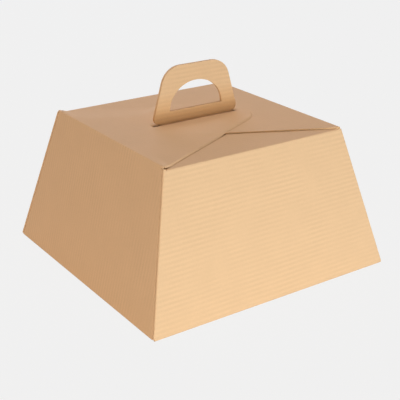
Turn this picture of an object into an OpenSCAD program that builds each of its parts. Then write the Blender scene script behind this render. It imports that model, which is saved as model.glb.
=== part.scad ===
// Cake carrier box, folded from one sheet of kraft microflute board.
// The origin is at the middle of the base, on the ground. The front wall faces -Y,
// and the handle stands along X over the middle of the top.

/* [Box] */
// Width of the square base, over its folds
base_w = 300; // [270:1:360]
// Width of the square top, over the folds of the side walls
top_w = 223.4; // [210:0.2:240]
// Height of the closed box, without its handle
box_h = 157.4; // [120:0.2:200]

/* [Board] */
// Thickness of the board
board = 1.5; // [1:0.1:2]
// Air between two plies that lie on each other
ply_gap = 0.2; // [0.1:0.05:0.4]

/* [Slotted flaps] */
// Angle between a slanted side of a slotted flap and a square end to its hinge
slotted_angle = 25.8; // [24:0.2:27]
// Radius of the round end of a slotted flap, which its slanted sides run into
slotted_tip_r = 40; // [34:1:43]
// How far a slotted flap reaches over the front and back walls beside its hinge
slotted_over = 1; // [0:0.1:1.4]
// How far the hinge of any top flap stops short of the corner of its wall
hinge_relief = 1; // [0.5:0.1:2]
// Seam in the fold that the outer flap opens at
hinge_seam = 0.2; // [0.1:0.05:0.3]

/* [Slots] */
// Room between each end of a slot and the ears of the handle
slot_end_gap = 1.5; // [1.3:0.1:3]
// Room between each side of a slot and the two plies of the handle
slot_side_gap = 1.4; // [0.3:0.1:2]

/* [Handle flaps] */
// Width of a handle flap where it ends at the middle of the top
shoulder_w = 126; // [118:1:150]
// Radius of the shoulder corners of a handle flap
shoulder_r = 8; // [2:0.5:12]
// Gap that keeps the two handle flaps apart beside the handle
shoulder_gap = 1; // [0.5:0.1:3]

/* [Handle] */
// Width of the handle over its ears
handle_w = 107; // [100:1:114]
// Height of the handle above the closed box
handle_h = 61.5; // [56:0.5:75]
// Lean of the handle's sides from upright
handle_lean = 16; // [10:0.5:18]
// Radius of the handle's upper corners
handle_corner_r = 23.5; // [12:0.5:26]
// How far each ear stands out from the neck, with a lower corner of the same radius
ear_w = 6.5; // [5:0.5:9]
// Room between the ears and the closed outer flap
ear_gap = 0.4; // [0.2:0.1:1]

/* [Finger hole] */
// Width of the finger hole along its straight lower edge
grip_w = 67.6; // [56:0.2:70]
// Height of the finger hole
grip_h = 30; // [24:0.5:32]
// Height of the finger hole's lower edge above the closed box
grip_rise = 13; // [10:0.5:18]

/* [Corner webs] */
// Cut-back of a corner web below the top of its fold
web_top_relief = 1; // [1:0.5:10]
// Cut-back of a corner web above the base, along the edge of a wall
web_edge_relief = 3; // [2:0.5:8]
// Cut-back of a corner web above the base, along its own middle fold
web_fold_relief = 9; // [8.5:0.5:15]
// How far above the base the round corners of the walls begin
corner_rise = 0.5; // [0.4:0.1:2]

/* [Folds] */
// How much thinner the crushed board is round a fold
crush = 0.02; // [0.01:0.01:0.05]
// How far a flat panel stops short of the line of its fold
crease_in = 0.15; // [0.12:0.01:0.2]
// How far the crushed board stands out inside a fold
crease_bead = 0.3; // [0.25:0.01:0.35]
// How far the round of a fold runs on past the end of the panel that it bends
fold_over = 0.3; // [0.1:0.05:0.3]

/* [Hidden] */
$fn = 48;

kraft = [0.84, 0.69, 0.51];
// Number of straight steps round the top of the finger hole
grip_steps = 40;
// Number of straight steps round half of a slotted flap's end
tip_steps = 16;

// One ply with the air under it
ply = board + ply_gap;
// Radius outside a fold that lays one ply flat on the next
hem_r = board + ply_gap / 2 - crush;
// Radius outside a single fold
fold_r = board - crush;

// Lean of the walls from upright
lean = atan((base_w - top_w) / 2 / (box_h - 2 * board));
// Distance from the middle of the box to the fold of a wall at the base
base_in = base_w / 2 - board;

// The folds at the top step down by one ply from flap to flap
outer_fold_z = box_h - board;
inner_fold_z = outer_fold_z - ply;
handle_fold_z = inner_fold_z - ply;

// Distance from the middle of the box to the inner face of a wall, at height z
function inner_at(z) = base_in - (z - board) * tan(lean);
// Length of a wall from its fold at the base to height z
function slant(z) = (z - board) / cos(lean);

// Two web plies lie between the front or back wall and the edge of a side wall
web_stack = 2 * ply / cos(lean);

// In its own wall, a corner edge leans this much from upright
edge_lean = atan(sin(lean));
// Length of a corner edge from the base to height z
function corner_len(z) = slant(z) / cos(edge_lean);
// Angle of half a corner web, which is what the base and two walls leave of a full turn
web_angle = 45 + edge_lean;
// Turn of the board from a front or back wall to a side wall
corner_turn = acos(pow(sin(lean), 2));
// The edge of a side wall lies this much outside the corner edge, behind the plies
corner_shift = 2 * ply / tan(corner_turn);
web_edge_end = corner_len(handle_fold_z) - web_top_relief;
web_fold_end = web_edge_end * cos(web_angle);

// Half the hinge width of the slotted flaps and of the handle flaps
outer_hinge_half = inner_at(outer_fold_z) - hinge_relief;
inner_hinge_half = inner_at(inner_fold_z) - hinge_relief;
handle_hinge_half = inner_at(handle_fold_z) - hinge_relief;

slot_len = handle_w + 2 * slot_end_gap;
slot_w = 2 * board + ply_gap + 2 * slot_side_gap;

// Distance from the hinge of a handle flap to the fold that turns the handle up
handle_fold_y = inner_at(handle_fold_z) - board - ply_gap / 2;
// Height of the closed box above the upper face of a handle flap
handle_drop = 2 * ply;

neck_half = handle_w / 2 - ear_w;
ear_z = ear_gap + ear_w;
corner_z = handle_h - handle_corner_r;
// The side edge of the handle touches the ear's circle and the upper corner's circle
corner_x = neck_half
    + (ear_w - handle_corner_r - (corner_z - ear_z) * sin(handle_lean)) / cos(handle_lean);

// Directions of the outside of a fold, from its panel's +Y towards its +Z
base_fold_turn = 135 + lean / 2;
top_fold_turn = (90 + lean) / 2;
handle_fold_turn = 315;

// Points of an arc
function arc(center, r, from, to, steps = 12) = [
    for (i = [0:steps])
        let (a = from + (to - from) * i / steps)
            center + r * [cos(a), sin(a)]
];

// The same points on the left, in turn, as on the right of the Y axis
function with_left(right) = concat(
    right,
    [for (i = [len(right) - 1:-1:0]) [-right[i].x, right[i].y]]
);

// Round corner of radius r, at a corner point between a side that comes in along `from`
// degrees and an end edge that leaves towards the Y axis
function end_corner(corner, r, from) =
    let (reach = r * tan((180 - from) / 2))
        arc([corner.x - reach, corner.y - r], r, from - 90, 90, 8);

// A flat panel of board on the plane of its inner face
module panel(points) {
    linear_extrude(board) polygon(points);
}

// Round of a fold along X. Its section is a disc, cut flat just inside the crease.
// `turn` is the direction of the fold's outside, and `side` keeps only the half of the
// section on one side of the seam.
module fold(half, turn, side = 0) {
    translate([-half, 0, 0])
        rotate([turn, 0, 0])
            rotate([90, 0, 90])
                linear_extrude(2 * half) fold_section(side);
}

module fold_section(side) {
    cut = 2 * fold_r;
    difference() {
        circle(r = fold_r);
        translate([-cut - crease_bead, -cut]) square([cut, 2 * cut]);
        if (side > 0) translate([-cut, hinge_seam / 2 - cut]) square([2 * cut, cut]);
        if (side < 0) translate([-cut, -hinge_seam / 2]) square([2 * cut, cut]);
    }
}

// Puts a wall, drawn with its base fold along X and its inner face on the XY plane,
// on one side of the base
module on_side(turn) {
    rotate([0, 0, turn])
        translate([0, -base_in, board])
            rotate([90 - lean, 0, 0])
                children();
}

// Puts a flap, drawn with its hinge along X and its inner face on the XY plane,
// level at the top of the wall that it hangs on
module on_wall_top(fold_z) {
    translate([0, slant(fold_z), 0])
        rotate([lean - 90, 0, 0])
            children();
}

// Wall with the round of its fold to the base
module wall(fold_z, setback) {
    low = base_in - setback;
    high = inner_at(fold_z) - setback;
    top = slant(fold_z) - crease_in;
    panel([[-low, crease_in], [low, crease_in], [high, top], [-high, top]]);
    fold(low + fold_over, base_fold_turn);
}

// Round of the fold between a wall and its top flap
module top_fold(fold_z, hinge_half, side = 0) {
    translate([0, slant(fold_z), 0])
        fold(hinge_half + fold_over, top_fold_turn, side);
}

// Half of a corner web: a triangle between the edge of a wall and the web's own fold
module web_ply(shift) {
    along_fold = [sin(web_angle), cos(web_angle)];
    panel([
        [-shift, web_edge_relief],
        web_fold_relief * along_fold,
        web_fold_end * along_fold,
        [-shift, web_edge_end]
    ]);
}

// Corner web at the left edge of a front or back wall. It is folded flat behind
// the wall, back on itself, and then turns the corner into the side wall. The round
// corners end a board's thickness below the fold at the top of the side wall.
module corner_web(side_fold_z) {
    corner_end = corner_len(side_fold_z) - board;
    translate([-base_in, 0, 0]) rotate([0, 0, -edge_lean]) {
        translate([0, 0, -ply]) web_ply(0);
        translate([0, 0, -2 * ply]) web_ply(corner_shift - crease_in);
        translate([0, 0, -ply_gap / 2])
            bead(corner_rise, corner_end, hem_r);
        rotate([0, 0, -web_angle])
            translate([0, 0, -ply - ply_gap / 2])
                bead(web_fold_relief, web_fold_end, hem_r);
        translate([-corner_shift, 0, -2 * ply])
            bead(corner_rise, corner_end, fold_r);
    }
}

// Round bead of crushed board along a fold of a corner web, along Y
module bead(from, to, r) {
    translate([0, from - fold_over, 0])
        rotate([-90, 0, 0])
            cylinder(r = r, h = to - from + 2 * fold_over);
}

// Slotted flap, from its hinge to its round end
module slotted_flap(fold_z) {
    crease_half = inner_at(fold_z) + slotted_over;
    tip_y = (crease_half - slotted_tip_r / cos(slotted_angle)) / tan(slotted_angle);
    linear_extrude(board) difference() {
        polygon(with_left(concat(
            [[crease_half - crease_in * tan(slotted_angle), crease_in]],
            arc([0, tip_y], slotted_tip_r, slotted_angle, 90, tip_steps)
        )));
        slot(inner_at(fold_z));
    }
}

// Slot with round ends, along Y
module slot(slot_y) {
    run = slot_len - slot_w;
    translate([-slot_w / 2, slot_y - run / 2]) square([slot_w, run]);
    for (end = [-1, 1])
        translate([0, slot_y + end * run / 2]) circle(d = slot_w);
}

// Outline of half the handle, with its neck down to the flap that it grows from
module handle_outline() {
    difference() {
        polygon(with_left(concat(
            [[neck_half, crease_in - handle_drop]],
            arc([neck_half, ear_z], ear_w, -90, handle_lean),
            arc([corner_x, corner_z], handle_corner_r, handle_lean, 90)
        )));
        finger_hole();
    }
}

// Upper half of an ellipse
module finger_hole() {
    translate([0, grip_rise])
        polygon([
            for (i = [0:grip_steps])
                let (a = 180 * i / grip_steps)
                    [grip_w / 2 * cos(a), grip_h * sin(a)]
        ]);
}

// Flap that ends in one of the two plies of the handle
module handle_flap() {
    side_lean = atan((handle_hinge_half - shoulder_w / 2) / handle_fold_y);
    end_y = handle_fold_y - shoulder_gap;
    panel(with_left(concat(
        [[handle_hinge_half, crease_in]],
        end_corner([shoulder_w / 2, end_y], shoulder_r, 90 + side_lean),
        [[neck_half, end_y], [neck_half, handle_fold_y - crease_in]]
    )));
    translate([0, handle_fold_y, board])
        fold(neck_half + fold_over, handle_fold_turn);
    translate([0, handle_fold_y + board, board + handle_drop])
        rotate([90, 0, 0])
            linear_extrude(board) handle_outline();
}

// Front or back side: wall, handle flap and both corner webs, each up to the fold of the
// side wall that it turns into
module handle_side(left_fold_z, right_fold_z) {
    wall(handle_fold_z, 0);
    corner_web(left_fold_z);
    mirror([1, 0, 0]) corner_web(right_fold_z);
    top_fold(handle_fold_z, handle_hinge_half);
    on_wall_top(handle_fold_z) handle_flap();
}

// Right side: wall and the slotted flap that lies under the outer flap
module inner_side() {
    wall(inner_fold_z, web_stack + crease_in);
    top_fold(inner_fold_z, inner_hinge_half);
    on_wall_top(inner_fold_z)
        slotted_flap(inner_fold_z);
}

// Left side: wall with its half of the fold that the outer flap opens at
module outer_side() {
    wall(outer_fold_z, web_stack + crease_in);
    top_fold(outer_fold_z, outer_hinge_half, 1);
}

// The folded sheet, apart from the outer flap
module carton() {
    color(kraft) {
        floor_half = base_in - crease_in;
        translate([-floor_half, -floor_half, 0])
            cube([2 * floor_half, 2 * floor_half, board]);
        on_side(0) handle_side(outer_fold_z, inner_fold_z);
        on_side(180) handle_side(inner_fold_z, outer_fold_z);
        on_side(90) inner_side();
        on_side(-90) outer_side();
    }
}

// Slotted flap on top of the others, with its half of the fold, which is lifted first
module outer_flap() {
    color(kraft) on_side(-90) {
        top_fold(outer_fold_z, outer_hinge_half, -1);
        on_wall_top(outer_fold_z)
            slotted_flap(outer_fold_z);
    }
}

carton();
outer_flap();
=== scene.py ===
import math

import bmesh
import bpy
import numpy as np
from mathutils import Matrix, Vector


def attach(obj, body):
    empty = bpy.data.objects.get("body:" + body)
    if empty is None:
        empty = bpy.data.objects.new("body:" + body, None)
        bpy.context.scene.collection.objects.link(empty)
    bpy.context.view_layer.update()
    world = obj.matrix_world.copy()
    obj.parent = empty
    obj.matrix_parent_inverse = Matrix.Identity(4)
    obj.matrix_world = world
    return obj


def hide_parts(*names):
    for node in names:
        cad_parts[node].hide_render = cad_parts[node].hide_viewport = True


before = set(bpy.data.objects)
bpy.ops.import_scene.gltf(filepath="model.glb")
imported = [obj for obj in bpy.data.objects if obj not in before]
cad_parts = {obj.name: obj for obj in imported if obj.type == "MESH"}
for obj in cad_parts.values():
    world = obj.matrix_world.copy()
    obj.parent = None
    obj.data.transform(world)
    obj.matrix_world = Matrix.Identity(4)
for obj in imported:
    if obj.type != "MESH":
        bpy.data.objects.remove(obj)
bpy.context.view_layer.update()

# Sizes in metres, as in the source of the part
MM = 0.001
BASE_W = 300 * MM
TOP_W = 223.4 * MM
BOX_H = 157.4 * MM
BOARD = 1.5 * MM
PLY = 1.7 * MM
LEAN = math.atan((BASE_W - TOP_W) / 2 / (BOX_H - 2 * BOARD))
OUTER_FOLD_Z = BOX_H - BOARD
INNER_FOLD_Z = OUTER_FOLD_Z - PLY
HANDLE_FOLD_Z = OUTER_FOLD_Z - 2 * PLY

# The two slotted flaps: the slant of their sides, their round ends, fold, seam and slot
SLANT = math.radians(25.8)
TIP_R = 40 * MM
SIDE_OVER = 1 * MM
HINGE_END_IN = 0.7 * MM
CREASE_IN = 0.15 * MM
SEAM = 0.2 * MM
SLOT_HALF_LEN = 55 * MM
HANDLE_HALF_THICK = 1.6 * MM
NECK_HALF = 47 * MM


def inner_at(z):
    """Distance from the middle of the box to the inner face of a wall, at height z."""
    return BASE_W / 2 - BOARD - (z - BOARD) * math.tan(LEAN)


# Materials

# Kraft board as sRGB hex values: the liner, its raw cut edges, and the painted shade at the foot of
# the handle
LINER = "d6b38f"
CUT_EDGE = "cfaa82"
FOOT_SHADE = "ecdcc6"
# Ribs of the flutes: their distance, how far they wander, how much they shade and stand out,
# and the share of them that is left on the level top
RIB_PITCH = 4.85 * MM
RIB_WANDER = 1.2 * MM
RIB_SHADE = 0.022
RIB_RELIEF = 0.035 * MM
TOP_RIBS = 0.35
# Fibre: how much the clouds and the flecks shade, and how much the flecks stand out
CLOUD_SHADE = 0.02
FLECK_SHADE = 0.035
FLECK_RELIEF = 0.03 * MM
# Painted shade at the foot of the handle, where the box top hides it from the low light: full up to
# the first height above the top, gone at the second, and on faces no further than the third from
# the middle plane of the handle
FOOT_SHADE_FULL = 8 * MM
FOOT_SHADE_GONE = 34 * MM
HANDLE_REACH = 2 * MM


def linear(hex_colour):
    """Linear colour with alpha, from an sRGB hex value such as "d6b38f"."""
    channels = np.array([int(hex_colour[i : i + 2], 16) for i in (0, 2, 4)]) / 255
    low, high = channels / 12.92, ((channels + 0.055) / 1.055) ** 2.4
    return (*np.where(channels <= 0.04045, low, high).tolist(), 1.0)


def add(tree, kind, inputs, **settings):
    """A new node. Each input is a number, a colour or the output of another node."""
    node = tree.nodes.new(kind)
    for name, value in settings.items():
        setattr(node, name, value)
    for key, value in inputs.items():
        if isinstance(value, bpy.types.NodeSocket):
            tree.links.new(value, node.inputs[key])
        else:
            node.inputs[key].default_value = value
    return node


def new_tree(name):
    material = bpy.data.materials.new(name)
    material.use_nodes = True
    material.node_tree.nodes.clear()
    return material, material.node_tree


def flute_ribs(tree, coords, at, side_y, side_z):
    """Height of the ribs, within 1.8 of 0.

    The flutes run along X in the flat sheet, so they are counted up the front, back and
    handle, and along Y on the sides and top. They show here and fade there, in patches a few
    centimetres wide.
    """
    upright = add(
        tree, "ShaderNodeMath", {0: side_y.outputs[0], 1: 0.5}, operation="GREATER_THAN"
    )
    up = add(
        tree, "ShaderNodeMath", {0: at.outputs["Z"], 1: 1 / math.cos(LEAN)}, operation="MULTIPLY"
    )
    across = add(
        tree, "ShaderNodeMix", {0: upright.outputs[0], 2: at.outputs["Y"], 3: up.outputs[0]}
    )
    wander = add(
        tree,
        "ShaderNodeTexNoise",
        {"Vector": coords.outputs["Object"], "Scale": 22.0, "Detail": 2.0},
    )
    wandered = add(
        tree,
        "ShaderNodeMath",
        {0: wander.outputs["Fac"], 1: RIB_WANDER, 2: across.outputs[0]},
        operation="MULTIPLY_ADD",
    )
    phase = add(
        tree,
        "ShaderNodeMath",
        {0: wandered.outputs[0], 1: 2 * math.pi / RIB_PITCH},
        operation="MULTIPLY",
    )
    wave = add(tree, "ShaderNodeMath", {0: phase.outputs[0]}, operation="SINE")

    patches = add(
        tree,
        "ShaderNodeTexNoise",
        {"Vector": coords.outputs["Object"], "Scale": 28.0, "Detail": 1.0},
    )
    strength = add(
        tree,
        "ShaderNodeMapRange",
        {
            "Value": patches.outputs["Fac"],
            "From Min": 0.3,
            "From Max": 0.7,
            "To Min": 0.2,
            "To Max": 1.8,
        },
    )
    steep = add(tree, "ShaderNodeMath", {0: side_z.outputs[0], 1: 0.9}, operation="LESS_THAN")
    shown = add(
        tree,
        "ShaderNodeMapRange",
        {"Value": steep.outputs[0], "To Min": TOP_RIBS, "To Max": 1.0},
    )
    local = add(
        tree, "ShaderNodeMath", {0: strength.outputs[0], 1: shown.outputs[0]}, operation="MULTIPLY"
    )
    return add(
        tree, "ShaderNodeMath", {0: wave.outputs[0], 1: local.outputs[0]}, operation="MULTIPLY"
    )


def board_colour(tree, at, side_y, side_z):
    """Liner, with raw cut edges and painted shade at the foot of the handle.

    Cut edges are the upright faces above the lowest top fold that don't face front or back.
    The foot of the handle is darkened with painted shade where it comes up through the two slots.
    """
    steep = add(tree, "ShaderNodeMath", {0: side_z.outputs[0], 1: 0.12}, operation="LESS_THAN")
    sideways = add(tree, "ShaderNodeMath", {0: side_y.outputs[0], 1: 0.95}, operation="LESS_THAN")
    high = add(
        tree, "ShaderNodeMath", {0: at.outputs["Z"], 1: HANDLE_FOLD_Z}, operation="GREATER_THAN"
    )
    cut = add(
        tree, "ShaderNodeMath", {0: steep.outputs[0], 1: sideways.outputs[0]}, operation="MULTIPLY"
    )
    cut = add(
        tree, "ShaderNodeMath", {0: cut.outputs[0], 1: high.outputs[0]}, operation="MULTIPLY"
    )
    colour = add(
        tree,
        "ShaderNodeMix",
        {0: cut.outputs[0], 6: linear(LINER), 7: linear(CUT_EDGE)},
        data_type="RGBA",
    )

    # Painted shade: the faces of the handle darken towards the box top, where they come up through
    # the slots
    foot = add(
        tree,
        "ShaderNodeMapRange",
        {
            "Value": at.outputs["Z"],
            "From Min": BOX_H + FOOT_SHADE_FULL,
            "From Max": BOX_H + FOOT_SHADE_GONE,
            "To Min": 1.0,
            "To Max": 0.0,
        },
    )
    beside = add(tree, "ShaderNodeMath", {0: at.outputs["Y"]}, operation="ABSOLUTE")
    thin = add(
        tree, "ShaderNodeMath", {0: beside.outputs[0], 1: HANDLE_REACH}, operation="LESS_THAN"
    )
    stands = add(
        tree, "ShaderNodeMath", {0: at.outputs["Z"], 1: BOX_H + 0.1 * MM}, operation="GREATER_THAN"
    )
    foot_shade = add(
        tree, "ShaderNodeMath", {0: thin.outputs[0], 1: stands.outputs[0]}, operation="MULTIPLY"
    )
    foot_shade = add(
        tree, "ShaderNodeMath", {0: foot_shade.outputs[0], 1: foot.outputs[0]}, operation="MULTIPLY"
    )
    return add(
        tree,
        "ShaderNodeMix",
        {0: foot_shade.outputs[0], 6: colour.outputs[2], 7: linear(FOOT_SHADE)},
        data_type="RGBA",
        blend_type="MULTIPLY",
    )


def kraft_liner():
    """Unbleached kraft liner on microflute board, calendered and creased.

    It gives the eye a matt, warm brown sheet whose flutes show through as faint ribs, with
    cloudy fibres, darker flecks, and raw brown cut edges where the flutes are open.
    """
    material, tree = new_tree("kraft_liner_on_microflute")
    coords = tree.nodes.new("ShaderNodeTexCoord")
    at = add(tree, "ShaderNodeSeparateXYZ", {0: coords.outputs["Object"]})
    facing = add(tree, "ShaderNodeSeparateXYZ", {0: coords.outputs["Normal"]})
    side_y = add(tree, "ShaderNodeMath", {0: facing.outputs["Y"]}, operation="ABSOLUTE")
    side_z = add(tree, "ShaderNodeMath", {0: facing.outputs["Z"]}, operation="ABSOLUTE")
    ribs = flute_ribs(tree, coords, at, side_y, side_z)
    colour = board_colour(tree, at, side_y, side_z)

    # Clouds of fibre a few centimetres wide, and flecks drawn at 1 to 2 mm so that they show
    clouds = add(
        tree,
        "ShaderNodeTexNoise",
        {"Vector": coords.outputs["Object"], "Scale": 35.0, "Detail": 4.0, "Roughness": 0.6},
    )
    flecks = add(
        tree,
        "ShaderNodeTexNoise",
        {"Vector": coords.outputs["Object"], "Scale": 700.0, "Detail": 3.0, "Roughness": 0.7},
    )
    shade = add(
        tree,
        "ShaderNodeMath",
        {0: ribs.outputs[0], 1: RIB_SHADE, 2: 1.0},
        operation="MULTIPLY_ADD",
    )
    for fibre, depth in ((clouds, CLOUD_SHADE), (flecks, FLECK_SHADE)):
        tone = add(
            tree,
            "ShaderNodeMapRange",
            {
                "Value": fibre.outputs["Fac"],
                "From Min": 0.25,
                "From Max": 0.75,
                "To Min": -depth,
                "To Max": depth,
            },
        )
        shade = add(
            tree, "ShaderNodeMath", {0: shade.outputs[0], 1: tone.outputs[0]}, operation="ADD"
        )
    shaded = add(
        tree,
        "ShaderNodeVectorMath",
        {0: colour.outputs[2], 3: shade.outputs[0]},
        operation="SCALE",
    )

    relief = add(
        tree, "ShaderNodeMath", {0: flecks.outputs["Fac"], 1: FLECK_RELIEF}, operation="MULTIPLY"
    )
    relief = add(
        tree,
        "ShaderNodeMath",
        {0: ribs.outputs[0], 1: RIB_RELIEF, 2: relief.outputs[0]},
        operation="MULTIPLY_ADD",
    )
    bump = add(
        tree,
        "ShaderNodeBump",
        {"Strength": 1.0, "Distance": 1.0, "Height": relief.outputs[0]},
    )
    surface = add(
        tree,
        "ShaderNodeBsdfPrincipled",
        {
            "Base Color": shaded.outputs[0],
            "Roughness": 0.85,
            "Specular IOR Level": 0.3,
            "Normal": bump.outputs[0],
        },
    )
    add(tree, "ShaderNodeOutputMaterial", {"Surface": surface.outputs[0]})
    return material


kraft = kraft_liner()
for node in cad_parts.values():
    for slot in node.material_slots:
        slot.material = kraft


# Outer flap

# How far the board sags where nothing but a handle flap is under it, how far it settles over
# the inner flap, and the distances over which the sag eases in
SAG = 1.7 * MM
SETTLE = 0.15 * MM
EASE_FROM_INNER = 12 * MM
EASE_FROM_HINGE = 10 * MM
EASE_FROM_SIDE = 45 * MM
# Its die-cut rims are crushed: the thickness left at the rim, and how far in the crush reaches
RIM = 0.3 * MM
CRUSH_RUN = 2.2 * MM
# The slot hugs the two plies of the handle and widens past its neck to round ends
SLOT_SNUG = HANDLE_HALF_THICK + 0.2 * MM
SLOT_END_R = 2.0 * MM
WIDEN_RUN = 2 * MM
# Points nearer than this are one
WELD = 0.002 * MM


def ease(t):
    """Runs from 0 to 1 with a level start and end."""
    t = np.clip(t, 0, 1)
    return t * t * (3 - 2 * t)


def tip_centre(half):
    """Distance from the hinge to the centre of a flap's round end.

    `half` is half the flap's width at the hinge.
    """
    return (half - TIP_R / math.cos(SLANT)) / math.tan(SLANT)


def outside_flap(s, y, half):
    """Distance outside a slotted flap, at s from its hinge and y from its middle line.

    The flap is the wedge between two slanted lines that start `half` from its middle line,
    and ends in a circle that touches both. Past the lines' touching points the distance is
    the one to the circle's centre less its radius, and elsewhere the one to the line.
    """
    tip = tip_centre(half)
    to_line = (abs(y) + s * math.tan(SLANT) - half) * math.cos(SLANT)
    to_circle = np.hypot(y, s - tip) - TIP_R
    return np.where(s - tip > abs(y) * math.tan(SLANT), to_circle, to_line)


def flap_half_width(s, half):
    """Half the width of a slotted flap at s from its hinge: slanted sides, then a circle."""
    tip = tip_centre(half)
    circle = np.sqrt(np.clip(TIP_R**2 - (s - tip) ** 2, 0, None))
    return np.where(s > tip + TIP_R * math.sin(SLANT), circle, half - s * math.tan(SLANT))


def flap_surfaces():
    """Upper and lower side of the outer slotted flap, as grids from its seam to its tip.

    A point is s from the hinge and a share v of the way from the slot, or the middle line
    beyond it, to the side. Beside the inner flap the board sags by up to SAG onto the handle
    flaps, and over it by SETTLE: the sag eases in away from the hinge, away from the inner
    flap and towards the side. The top dips towards every cut rim, where the die crushed the
    flutes. Before the hinge the top runs on round the fold, down to the seam.
    """
    middle = inner_at(OUTER_FOLD_Z)
    half = middle + SIDE_OVER
    tip = tip_centre(half)
    slot_run = SLOT_HALF_LEN - SLOT_END_R

    bend = SLOT_END_R * np.cos(np.linspace(math.pi / 2, 0, 9))
    to_tip = math.acos((middle + SLOT_HALF_LEN - tip) / TIP_R)
    s = np.concatenate(
        [
            np.linspace(CREASE_IN, middle - SLOT_HALF_LEN, 30)[:-1],
            (middle - slot_run - bend)[::-1],
            np.linspace(middle - slot_run, middle + slot_run, 80)[1:-1],
            middle + slot_run + bend,
            (tip + TIP_R * np.cos(np.linspace(to_tip, 0, 16)))[1:],
        ]
    )
    near_rim = np.array([0.0, 0.004, 0.009, 0.016, 0.025, 0.04])
    v = np.concatenate([near_rim, np.linspace(0.06, 0.94, 22), 1 - near_rim[::-1]])
    widening = ease((abs(s - middle) - NECK_HALF) / WIDEN_RUN)
    slot = SLOT_SNUG + (SLOT_END_R - SLOT_SNUG) * widening
    past = np.clip(abs(s - middle) - slot_run, 0, None)
    slot = np.where(past > 0, np.sqrt(np.clip(SLOT_END_R**2 - past**2, 0, None)), slot)
    side = flap_half_width(s, half)
    right = slot[:, None] + (side - slot)[:, None] * v
    y = np.concatenate([-right[:, ::-1], right], axis=1)
    s, past, slot = (np.repeat(row[:, None], y.shape[1], axis=1) for row in (s, past, slot))

    from_side = -outside_flap(s, y, half)
    from_slot = np.where(past > 0, np.hypot(y, past) - SLOT_END_R, abs(y) - slot)
    inner_hinge = middle + inner_at(INNER_FOLD_Z)
    from_inner = outside_flap(inner_hinge - s, y, inner_at(INNER_FOLD_Z) + SIDE_OVER)
    free = SETTLE + (SAG - SETTLE) * ease(from_inner / EASE_FROM_INNER)
    sag = free * ease(s / EASE_FROM_HINGE) * ease(1 - from_side / EASE_FROM_SIDE)
    crush = (BOARD - RIM) * (1 - ease(np.minimum(from_side, from_slot) / CRUSH_RUN))
    under = np.stack([s - middle, y, OUTER_FOLD_Z - sag], axis=2)
    over = np.stack([s - middle, y, OUTER_FOLD_Z - sag + BOARD - crush], axis=2)

    # The fold: rows round the crease, from the seam up to the level of the flap
    seam_at = math.pi - (math.pi / 2 + LEAN) / 2 + LEAN - SEAM / 2 / BOARD
    turn = np.linspace(seam_at, math.pi / 2, 7)
    turn, across = np.meshgrid(turn, (middle - HINGE_END_IN) * y[0] / half, indexing="ij")
    fold_over = np.stack(
        [BOARD * np.cos(turn) - middle, across, OUTER_FOLD_Z + BOARD * np.sin(turn)], axis=2
    )
    fold_under = np.stack(
        [np.full_like(across, -middle), across, np.full_like(across, OUTER_FOLD_Z)], axis=2
    )
    return np.concatenate([fold_over, over]), np.concatenate([fold_under, under])


def board_faces(rows, columns):
    """Quads of the upper and lower side, of the rims along both halves and of the seam."""
    number = np.arange(rows * columns).reshape(rows, columns)
    inside = columns // 2
    below = rows * columns
    a, b, c, d = number[:-1, :-1], number[1:, :-1], number[1:, 1:], number[:-1, 1:]
    whole = np.arange(columns - 1) != inside - 1
    top = np.stack([a, b, c, d], axis=2)[:, whole].reshape(-1, 4)
    bottom = top[:, ::-1] + below
    edges = [number[:, column] for column in (0, inside - 1, inside, columns - 1)]
    walls = [
        np.stack([edge[:-1], edge[1:], edge[1:] + below, edge[:-1] + below], axis=1)
        for edge in (*edges, number[0])
    ]
    return np.concatenate([top, bottom, *walls])


def outer_flap_sheet():
    """Board of the outer slotted flap, closed between its two surfaces."""
    over, under = flap_surfaces()
    faces = board_faces(*over.shape[:2])
    mesh = bpy.data.meshes.new("outer_flap_board")
    points = np.concatenate([over.reshape(-1, 3), under.reshape(-1, 3)])
    mesh.from_pydata(points.tolist(), [], faces.tolist())
    shape = bmesh.new()
    shape.from_mesh(mesh)
    bmesh.ops.remove_doubles(shape, verts=shape.verts, dist=WELD)
    # Where there is no slot, the two rims on the middle line lie on each other inside the
    # board: both go
    on_middle = [f for f in shape.faces if all(abs(vert.co.y) < 1.5 * WELD for vert in f.verts)]
    bmesh.ops.delete(shape, geom=on_middle, context="FACES_ONLY")
    bmesh.ops.dissolve_degenerate(shape, edges=shape.edges, dist=WELD)
    bmesh.ops.recalc_face_normals(shape, faces=shape.faces)
    shape.to_mesh(mesh)
    shape.free()
    mesh.polygons.foreach_set("use_smooth", [True] * len(mesh.polygons))
    mesh.set_sharp_from_angle(angle=math.radians(35))
    mesh.materials.append(kraft)
    sheet = bpy.data.objects.new("outer_flap_board", mesh)
    bpy.context.scene.collection.objects.link(sheet)
    return sheet


outer_flap = outer_flap_sheet()
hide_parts("outer_flap")
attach(outer_flap, "outer_flap")


# Stage, light and camera

BACKDROP = "f2f2f2"
PAPER = "e6e6e6"
# Share of the paper's tone that the camera sees as even; the rest takes the light and shadow
EVEN_SHARE = 0.96
FLOOR_HALF = 20.0


def seen_directly(tree):
    """Node that is 1 for camera, glossy and transmission rays, and 0 for the light's own."""
    paths = tree.nodes.new("ShaderNodeLightPath")
    seen = add(
        tree,
        "ShaderNodeMath",
        {0: paths.outputs["Is Camera Ray"], 1: paths.outputs["Is Glossy Ray"]},
        operation="MAXIMUM",
    )
    return add(
        tree,
        "ShaderNodeMath",
        {0: seen.outputs[0], 1: paths.outputs["Is Transmission Ray"]},
        operation="MAXIMUM",
    )


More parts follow.
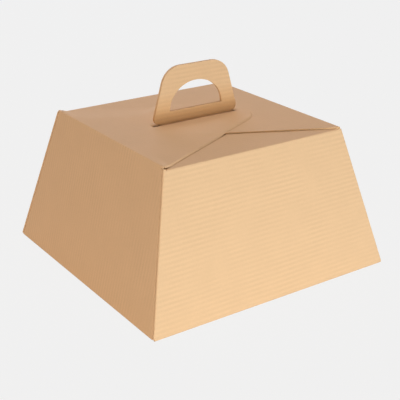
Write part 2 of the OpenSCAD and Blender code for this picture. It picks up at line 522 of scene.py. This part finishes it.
def floor_material():
    """Pale paper sweep. The camera sees its even pale tone, with the object's soft shadow."""
    material, tree = new_tree("pale_paper_sweep")
    seen = seen_directly(tree)
    lit = add(tree, "ShaderNodeBsdfDiffuse", {"Color": linear(PAPER)})
    pale = add(tree, "ShaderNodeEmission", {"Color": linear(BACKDROP), "Strength": 1.0})
    share = add(
        tree, "ShaderNodeMath", {0: seen.outputs[0], 1: EVEN_SHARE}, operation="MULTIPLY"
    )
    surface = add(
        tree, "ShaderNodeMixShader", {0: share.outputs[0], 1: lit.outputs[0], 2: pale.outputs[0]}
    )
    add(tree, "ShaderNodeOutputMaterial", {"Surface": surface.outputs[0]})
    return material


def floor_plane(half):
    mesh = bpy.data.meshes.new("floor")
    mesh.from_pydata(
        [(-half, -half, 0), (half, -half, 0), (half, half, 0), (-half, half, 0)], [], [(0, 1, 2, 3)]
    )
    floor = bpy.data.objects.new("floor", mesh)
    bpy.context.scene.collection.objects.link(floor)
    mesh.materials.append(floor_material())
    return floor


floor = floor_plane(FLOOR_HALF)

# Soft boxes: name, where its middle stands (m), width and height (m), power (W) and colour.
# Low strips light the walls and one box overhead lights the top, so that the foot of the
# handle falls off into shade as it does in the photograph. The strips stand on the floor, so
# they leave it unlit: it would show their hot feet.
AIM = Vector((0, 0, 0.09))
SOFT_BOXES = [
    ("front_strip", (-0.05, -0.95, 0.085), (1.4, 0.17), 8.6, (0.94, 1.0, 0.94)),
    ("left_strip", (-1.2, -0.1, 0.12), (1.6, 0.23), 4.5, (1.0, 0.71, 0.41)),
    ("right_strip", (1.2, 0.1, 0.12), (1.6, 0.23), 4.0, (1.0, 0.96, 0.9)),
    ("back_strip", (0.1, 1.2, 0.12), (1.6, 0.23), 6.5, (1.0, 1.0, 1.0)),
    ("back_right", (1.0, 2.6, 1.4), (1.6, 1.6), 24.0, (0.6, 0.7, 1.0)),
    ("overhead", (0.0, 0.0, 2.6), (1.6, 1.6), 37.0, (1.0, 0.87, 0.75)),
]
not_for_strips = bpy.data.collections.new("not_for_strips")
not_for_strips.objects.link(floor)
not_for_strips.collection_objects[0].light_linking.link_state = "EXCLUDE"
for name, place, (width, height), power, colour in SOFT_BOXES:
    lamp = bpy.data.lights.new(name, "AREA")
    lamp.shape = "RECTANGLE"
    lamp.size = width
    lamp.size_y = height
    lamp.energy = power
    lamp.color = colour
    box = bpy.data.objects.new(name, lamp)
    bpy.context.scene.collection.objects.link(box)
    box.visible_camera = False
    if name.endswith("strip"):
        box.light_linking.receiver_collection = not_for_strips
    away = (Vector(place) - AIM).normalized()
    box.matrix_world = Matrix.Translation(place) @ away.to_track_quat("Z", "Y").to_matrix().to_4x4()

# The room lights the box dimly, and the camera sees the backdrop's tone in its place
WORLD_LIGHT = 0.12
world = bpy.data.worlds.new("pale_room")
bpy.context.scene.world = world
world.use_nodes = True
world.node_tree.nodes.clear()
seen = seen_directly(world.node_tree)
room = add(
    world.node_tree,
    "ShaderNodeBackground",
    {"Color": (1.0, 1.0, 1.0, 1.0), "Strength": WORLD_LIGHT},
)
pale = add(
    world.node_tree, "ShaderNodeBackground", {"Color": linear(BACKDROP), "Strength": 1.0}
)
both = add(
    world.node_tree,
    "ShaderNodeMixShader",
    {0: seen.outputs[0], 1: room.outputs[0], 2: pale.outputs[0]},
)
add(world.node_tree, "ShaderNodeOutputWorld", {"Surface": both.outputs[0]})

# The camera is fitted to the edges of the box in the photograph
CAMERA_AT = Vector((-0.5330, -0.7847, 0.4561))
CAMERA_AZIMUTH, CAMERA_DROP, CAMERA_ROLL = (math.radians(a) for a in (-34.487, 22.696, -0.018))
LENS, SENSOR = 81.48, 36
back = Vector(
    (
        math.sin(CAMERA_AZIMUTH) * math.cos(CAMERA_DROP),
        -math.cos(CAMERA_AZIMUTH) * math.cos(CAMERA_DROP),
        math.sin(CAMERA_DROP),
    )
)
right = Vector((math.cos(CAMERA_AZIMUTH), math.sin(CAMERA_AZIMUTH), 0))
above = back.cross(right)
turned = Matrix((right, above, back)).transposed().to_4x4()
camera = bpy.data.cameras.new("camera")
camera.lens = LENS
camera.sensor_width = SENSOR
eye = bpy.data.objects.new("camera", camera)
bpy.context.scene.collection.objects.link(eye)
eye.matrix_world = Matrix.Translation(CAMERA_AT) @ turned @ Matrix.Rotation(CAMERA_ROLL, 4, "Z")
bpy.context.scene.camera = eye

bpy.context.scene.view_settings.view_transform = "Standard"
